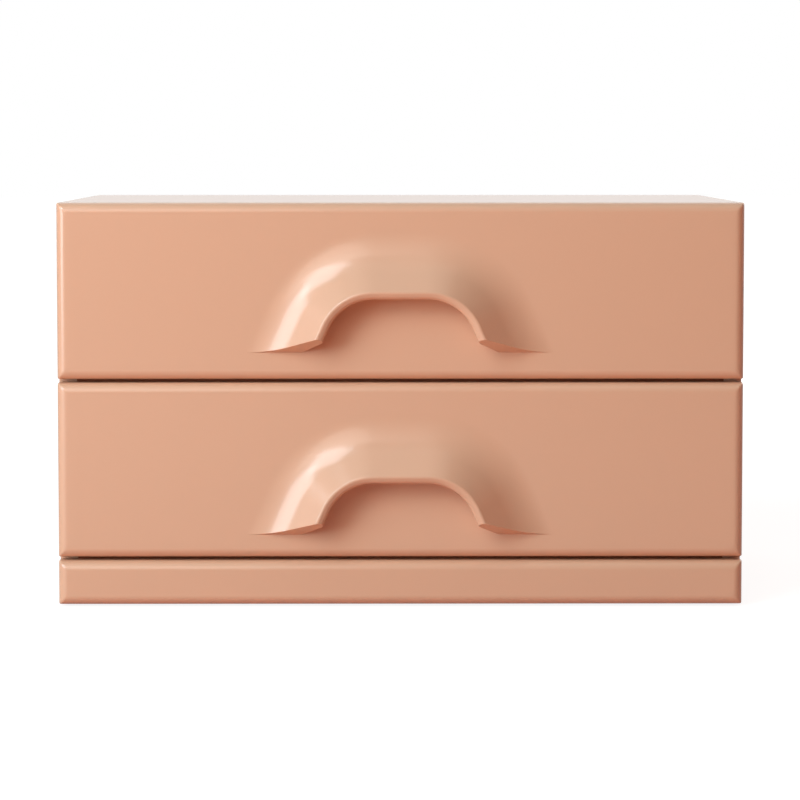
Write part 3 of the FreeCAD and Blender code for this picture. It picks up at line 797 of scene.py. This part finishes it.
# Stage
def stage():
    """A white floor that the camera sees with a faint shadow, and that throws a warm bounce on the chest."""
    bm = bmesh.new()
    bmesh.ops.create_grid(bm, x_segments=1, y_segments=1, size=20)
    mesh = bpy.data.meshes.new("floor")
    bm.to_mesh(mesh)
    bm.free()
    floor = bpy.data.objects.new("floor", mesh)
    bpy.context.scene.collection.objects.link(floor)
    material = new_material("white_floor")
    tree = material.node_tree
    path = add(tree, "ShaderNodeLightPath")
    mirrored = add(
        tree, "ShaderNodeMath", {"operation": "MAXIMUM"},
        {0: path.outputs["Is Glossy Ray"], 1: path.outputs["Is Transmission Ray"]},
    )
    looked_at = add(
        tree, "ShaderNodeMath", {"operation": "MAXIMUM"},
        {0: path.outputs["Is Camera Ray"], 1: mirrored.outputs[0]},
    )
    bounce = add(tree, "ShaderNodeBsdfDiffuse", {"Color": floor_bounce})
    shaded = add(tree, "ShaderNodeBsdfDiffuse", {"Color": (0.3, 0.3, 0.3, 1)})
    place = add(tree, "ShaderNodeTexCoord").outputs["Object"]
    axes = add(tree, "ShaderNodeSeparateXYZ", links={0: place})
    # Mirrors see it dim far in front, and lighter from the chest backwards
    in_mirrors = add(
        tree, "ShaderNodeMapRange",
        {
            "interpolation_type": "SMOOTHSTEP", "From Min": -4.0, "From Max": -0.6,
            "To Min": 0.025, "To Max": 0.21,
        },
        {"Value": axes.outputs["Y"]},
    )
    reach = add(tree, "ShaderNodeVectorMath", {"operation": "LENGTH"}, {0: place})
    # The camera sees it a little under white round the chest, so that the shadow shows
    round_chest = add(
        tree, "ShaderNodeMapRange",
        {
            "interpolation_type": "SMOOTHSTEP", "From Min": 0.6, "From Max": 2.4,
            "To Min": 0.86, "To Max": 1.0,
        },
        {"Value": reach.outputs["Value"]},
    )
    for_camera = add(
        tree, "ShaderNodeMath", {"operation": "MULTIPLY"},
        {0: path.outputs["Is Camera Ray"], 1: round_chest.outputs[0]},
    )
    level = add(
        tree, "ShaderNodeMath", {"operation": "MAXIMUM"},
        {0: in_mirrors.outputs[0], 1: for_camera.outputs[0]},
    )
    white = add(tree, "ShaderNodeEmission", {"Color": (1, 1, 1, 1)}, {"Strength": level.outputs[0]})
    seen = add(tree, "ShaderNodeAddShader", links={0: shaded.outputs[0], 1: white.outputs[0]})
    mixed = add(
        tree, "ShaderNodeMixShader",
        links={0: looked_at.outputs[0], 1: bounce.outputs[0], 2: seen.outputs[0]},
    )
    add(tree, "ShaderNodeOutputMaterial", links={"Surface": mixed.outputs[0]})
    mesh.materials.append(material)


def world():
    """A white backdrop; the light of the room comes from behind, and mirrors see it darker in front."""
    made = bpy.data.worlds.new("studio")
    made.use_nodes = True
    tree = made.node_tree
    tree.nodes.clear()
    path = add(tree, "ShaderNodeLightPath")
    direction = add(tree, "ShaderNodeTexCoord").outputs["Generated"]
    axes = add(tree, "ShaderNodeSeparateXYZ", links={0: direction})
    behind = add(
        tree, "ShaderNodeMapRange",
        {
            "interpolation_type": "SMOOTHSTEP", "From Min": 0.1, "From Max": 0.6,
            "To Min": 0.0, "To Max": room_level,
        },
        {"Value": axes.outputs["Y"]},
    )
    in_mirrors = add(
        tree, "ShaderNodeMapRange",
        {
            "interpolation_type": "SMOOTHSTEP", "From Min": 0.0, "From Max": 0.5,
            "To Min": 0.12, "To Max": 0.95,
        },
        {"Value": axes.outputs["Y"]},
    )
    ambient = add(tree, "ShaderNodeBackground", {"Color": room_tint}, {"Strength": behind.outputs[0]})
    backdrop = add(tree, "ShaderNodeBackground", {"Color": (1, 1, 1, 1)}, {"Strength": in_mirrors.outputs[0]})
    white = add(tree, "ShaderNodeBackground", {"Color": (1, 1, 1, 1), "Strength": 1.0})
    mirrored = add(
        tree, "ShaderNodeMath", {"operation": "MAXIMUM"},
        {0: path.outputs["Is Glossy Ray"], 1: path.outputs["Is Transmission Ray"]},
    )
    around = add(
        tree, "ShaderNodeMixShader",
        links={0: mirrored.outputs[0], 1: ambient.outputs[0], 2: backdrop.outputs[0]},
    )
    mixed = add(
        tree, "ShaderNodeMixShader",
        links={0: path.outputs["Is Camera Ray"], 1: around.outputs[0], 2: white.outputs[0]},
    )
    add(tree, "ShaderNodeOutputWorld", links={"Surface": mixed.outputs[0]})
    bpy.context.scene.world = made


def softbox(name, azimuth, elevation, distance, width, height, watts, colour):
    """A rectangular lamp aimed at the chest's middle; azimuth 0 is in front, negative to the left."""
    lamp = bpy.data.lights.new(name, "AREA")
    lamp.shape = "RECTANGLE"
    lamp.size = width
    lamp.size_y = height
    lamp.energy = watts
    lamp.color = colour
    turn = math.radians(azimuth)
    rise = math.radians(elevation)
    away = Vector((math.sin(turn) * math.cos(rise), -math.cos(turn) * math.cos(rise), math.sin(rise)))
    obj = bpy.data.objects.new(name, lamp)
    obj.location = Vector(lamp_target) + away * distance
    obj.rotation_mode = "QUATERNION"
    obj.rotation_quaternion = away.to_track_quat("Z", "Y")
    bpy.context.scene.collection.objects.link(obj)


def camera():
    lens = bpy.data.cameras.new("camera")
    lens.lens = camera_lens
    lens.sensor_width = 36
    lens.shift_y = camera_shift
    obj = bpy.data.objects.new("camera", lens)
    obj.location = camera_place
    obj.rotation_euler = (camera_tilt, 0, camera_turn)
    bpy.context.scene.collection.objects.link(obj)
    bpy.context.scene.camera = obj


stage()
world()
# Each lamp's name, azimuth and elevation in degrees, distance, width and height in metres, watts and colour
softboxes = (
    ("key", -38, 37, 3.8, 1.5, 1.9, 55, cool_daylight),
    ("streak", -54, 13, 3.8, 1.9, 2.2, 82, cool_daylight),
    ("front", -18, 28, 3.8, 1.8, 2.2, 28, warm_fill),
    ("overhead", 0, 72, 2.6, 2.0, 1.6, 6.5, warm_fill),
    ("side bounce", 72, 8, 3.2, 2.0, 2.0, 5, room_bounce),
    ("rear side", 138, 24, 3.8, 2.2, 2.2, 22, plain_white),
)
for values in softboxes:
    softbox(*values)
camera()
bpy.context.scene.view_settings.view_transform = "Standard"
